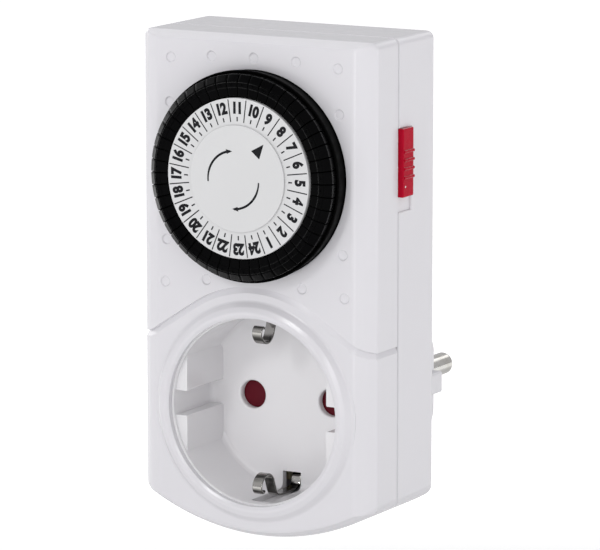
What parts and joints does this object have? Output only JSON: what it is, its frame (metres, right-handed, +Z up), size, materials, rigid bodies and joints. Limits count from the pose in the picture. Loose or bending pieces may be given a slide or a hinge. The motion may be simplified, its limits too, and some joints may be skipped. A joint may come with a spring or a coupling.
{
  "type": "plug-in timer",
  "caption": "Plug-in mechanical day timer with a tappet dial above an earthed socket, a rear earthed plug and a side override slider.",
  "frame": {"origin": "middle of the plug's contact face, between its two pins, on the shared axis of plug and socket", "axes": "+Y along the plug pins into the wall, +Z up towards the dial, +X to the right seen from the front; dial and socket face -Y"},
  "size_m": [0.0568, 0.075, 0.1056],
  "materials": {
    "white_plastic": "satin white moulded plastic",
    "black_plastic": "satin black moulded plastic",
    "crimson_plastic": "bright crimson moulded plastic",
    "maroon_plastic": "dark maroon moulded plastic",
    "nickel": "bright nickel plate",
    "brass_strip": "stamped brass strip",
    "steel": "zinc plated steel",
    "natural_plastic": "natural unpainted nylon",
    "gear_white": "white acetal",
    "copper_winding": "enamelled copper winding",
    "ferrite": "plastic-bonded ferrite magnet",
    "wire_sheath": "flexible wire insulation",
    "label_film": "blank grey label"
  },
  "bodies": {
    "root": {"front_cover": "white_plastic", "rear_cover": "white_plastic", "plug_body": "white_plastic", "socket_insert": "white_plastic", "shutter_spring": "steel", "contact_holder": "natural_plastic", "socket_contacts": "brass_strip", "earth_clips": "nickel", "plug_earth_contacts": "nickel", "plug_pins": "nickel", "live_busbar": "brass_strip", "load_busbar": "brass_strip", "neutral_busbar": "brass_strip", "mechanism_plate": "natural_plastic", "motor_can": "steel", "motor_coil": "copper_winding", "pivot_pins": "steel", "centre_disc": "white_plastic", "centre_post": "natural_plastic", "detent_spring": "steel", "dial_click_spring": "steel", "housing_screws": "steel", "plate_screws": "steel", "motor_leads": "wire_sheath", "rating_label": "label_film"},
    "dial": {"dial_ring": "black_plastic", "scale_ring": "white_plastic", "dial_gear": "gear_white"},
    "gear_b": {"reduction_gear_b": "natural_plastic"},
    "gear_a": {"reduction_gear_a": "gear_white"},
    "rotor": {"motor_rotor": "ferrite", "motor_pinion": "brass_strip"},
    "lever": {"switch_lever": "natural_plastic"},
    "contact_blade": {"moving_contact": "brass_strip"},
    "slider": {"override_slider": "crimson_plastic"},
    "shutter": {"socket_shutter": "maroon_plastic"},
    "tappets_01": {"tappet_hour_01": "black_plastic"},
    "tappets_02": {"tappet_hour_02": "black_plastic"},
    "tappets_03": {"tappet_hour_03": "black_plastic"},
    "tappets_04": {"tappet_hour_04": "black_plastic"},
    "tappets_05": {"tappet_hour_05": "black_plastic"},
    "tappets_06": {"tappet_hour_06": "black_plastic"},
    "tappets_07": {"tappet_hour_07": "black_plastic"},
    "tappets_08": {"tappet_hour_08": "black_plastic"},
    "tappets_09": {"tappet_hour_09": "black_plastic"},
    "tappets_10": {"tappet_hour_10": "black_plastic"},
    "tappets_11": {"tappet_hour_11": "black_plastic"},
    "tappets_12": {"tappet_hour_12": "black_plastic"},
    "tappets_13": {"tappet_hour_13": "black_plastic"},
    "tappets_14": {"tappet_hour_14": "black_plastic"},
    "tappets_15": {"tappet_hour_15": "black_plastic"},
    "tappets_16": {"tappet_hour_16": "black_plastic"},
    "tappets_17": {"tappet_hour_17": "black_plastic"},
    "tappets_18": {"tappet_hour_18": "black_plastic"},
    "tappets_19": {"tappet_hour_19": "black_plastic"},
    "tappets_20": {"tappet_hour_20": "black_plastic"},
    "tappets_21": {"tappet_hour_21": "black_plastic"},
    "tappets_22": {"tappet_hour_22": "black_plastic"},
    "tappets_23": {"tappet_hour_23": "black_plastic"},
    "tappets_24": {"tappet_hour_24": "black_plastic"}
  },
  "joints": [
    {"name": "dial_spin", "type": "hinge", "parent": "root", "child": "dial", "pos_m": [0, 0, 0.05], "axis": [0, 1, 0], "continuous": true},
    {"name": "gear_b_spin", "type": "hinge", "parent": "root", "child": "gear_b", "pos_m": [-0.00826, 0, 0.0382], "axis": [0, 1, 0], "continuous": true},
    {"name": "gear_a_spin", "type": "hinge", "parent": "root", "child": "gear_a", "pos_m": [-0.01333, 0, 0.04908], "axis": [0, 1, 0], "continuous": true},
    {"name": "rotor_spin", "type": "hinge", "parent": "root", "child": "rotor", "pos_m": [-0.00665, 0, 0.05705], "axis": [0, 1, 0], "continuous": true},
    {"name": "override_slide", "type": "slide", "parent": "root", "child": "slider", "axis": [0, 0, 1], "range_m": [-0.0024, 0]},
    {"name": "lever_rock", "type": "hinge", "parent": "root", "child": "lever", "pos_m": [0.0117, -0.0422, 0.0725], "axis": [1, 0, 0], "range_deg": [0, 4.01]},
    {"name": "blade_flex", "type": "hinge", "parent": "root", "child": "contact_blade", "pos_m": [0.0096, -0.0364, 0.0302], "axis": [1, 0, 0], "range_deg": [-3.61, 0]},
    {"name": "shutter_turn", "type": "hinge", "parent": "root", "child": "shutter", "pos_m": [0, -0.0306, 0], "axis": [0, 1, 0], "range_deg": [0, 40], "stiffness_Nm_per_rad": 0.004, "springref_deg": -9.74},
    {"name": "tappet_01_press", "type": "slide", "parent": "dial", "child": "tappets_01", "axis": [0, 1, 0], "range_m": [0, 0.0018]},
    {"name": "tappet_02_press", "type": "slide", "parent": "dial", "child": "tappets_02", "axis": [0, 1, 0], "range_m": [0, 0.0018]},
    {"name": "tappet_03_press", "type": "slide", "parent": "dial", "child": "tappets_03", "axis": [0, 1, 0], "range_m": [0, 0.0018]},
    {"name": "tappet_04_press", "type": "slide", "parent": "dial", "child": "tappets_04", "axis": [0, 1, 0], "range_m": [0, 0.0018]},
    {"name": "tappet_05_press", "type": "slide", "parent": "dial", "child": "tappets_05", "axis": [0, 1, 0], "range_m": [0, 0.0018]},
    {"name": "tappet_06_press", "type": "slide", "parent": "dial", "child": "tappets_06", "axis": [0, 1, 0], "range_m": [0, 0.0018]},
    {"name": "tappet_07_press", "type": "slide", "parent": "dial", "child": "tappets_07", "axis": [0, 1, 0], "range_m": [0, 0.0018]},
    {"name": "tappet_08_press", "type": "slide", "parent": "dial", "child": "tappets_08", "axis": [0, 1, 0], "range_m": [0, 0.0018]},
    {"name": "tappet_09_press", "type": "slide", "parent": "dial", "child": "tappets_09", "axis": [0, 1, 0], "range_m": [0, 0.0018]},
    {"name": "tappet_10_press", "type": "slide", "parent": "dial", "child": "tappets_10", "axis": [0, 1, 0], "range_m": [0, 0.0018]},
    {"name": "tappet_11_press", "type": "slide", "parent": "dial", "child": "tappets_11", "axis": [0, 1, 0], "range_m": [0, 0.0018]},
    {"name": "tappet_12_press", "type": "slide", "parent": "dial", "child": "tappets_12", "axis": [0, 1, 0], "range_m": [0, 0.0018]},
    {"name": "tappet_13_press", "type": "slide", "parent": "dial", "child": "tappets_13", "axis": [0, 1, 0], "range_m": [0, 0.0018]},
    {"name": "tappet_14_press", "type": "slide", "parent": "dial", "child": "tappets_14", "axis": [0, 1, 0], "range_m": [0, 0.0018]},
    {"name": "tappet_15_press", "type": "slide", "parent": "dial", "child": "tappets_15", "axis": [0, 1, 0], "range_m": [0, 0.0018]},
    {"name": "tappet_16_press", "type": "slide", "parent": "dial", "child": "tappets_16", "axis": [0, 1, 0], "range_m": [0, 0.0018]},
    {"name": "tappet_17_press", "type": "slide", "parent": "dial", "child": "tappets_17", "axis": [0, 1, 0], "range_m": [0, 0.0018]},
    {"name": "tappet_18_press", "type": "slide", "parent": "dial", "child": "tappets_18", "axis": [0, 1, 0], "range_m": [0, 0.0018]},
    {"name": "tappet_19_press", "type": "slide", "parent": "dial", "child": "tappets_19", "axis": [0, 1, 0], "range_m": [0, 0.0018]},
    {"name": "tappet_20_press", "type": "slide", "parent": "dial", "child": "tappets_20", "axis": [0, 1, 0], "range_m": [0, 0.0018]},
    {"name": "tappet_21_press", "type": "slide", "parent": "dial", "child": "tappets_21", "axis": [0, 1, 0], "range_m": [0, 0.0018]},
    {"name": "tappet_22_press", "type": "slide", "parent": "dial", "child": "tappets_22", "axis": [0, 1, 0], "range_m": [0, 0.0018]},
    {"name": "tappet_23_press", "type": "slide", "parent": "dial", "child": "tappets_23", "axis": [0, 1, 0], "range_m": [0, 0.0018]},
    {"name": "tappet_24_press", "type": "slide", "parent": "dial", "child": "tappets_24", "axis": [0, 1, 0], "range_m": [0, 0.0018]}
  ],
  "couplings": [
    {"joint": "gear_b_spin", "follows": "dial_spin", "ratio": -5},
    {"joint": "gear_a_spin", "follows": "dial_spin", "ratio": 20},
    {"joint": "rotor_spin", "follows": "dial_spin", "ratio": -66.667},
    {"joint": "lever_rock", "follows": "override_slide", "rad_per_m": -29.089},
    {"joint": "blade_flex", "follows": "override_slide", "rad_per_m": 26.18}
  ]
}
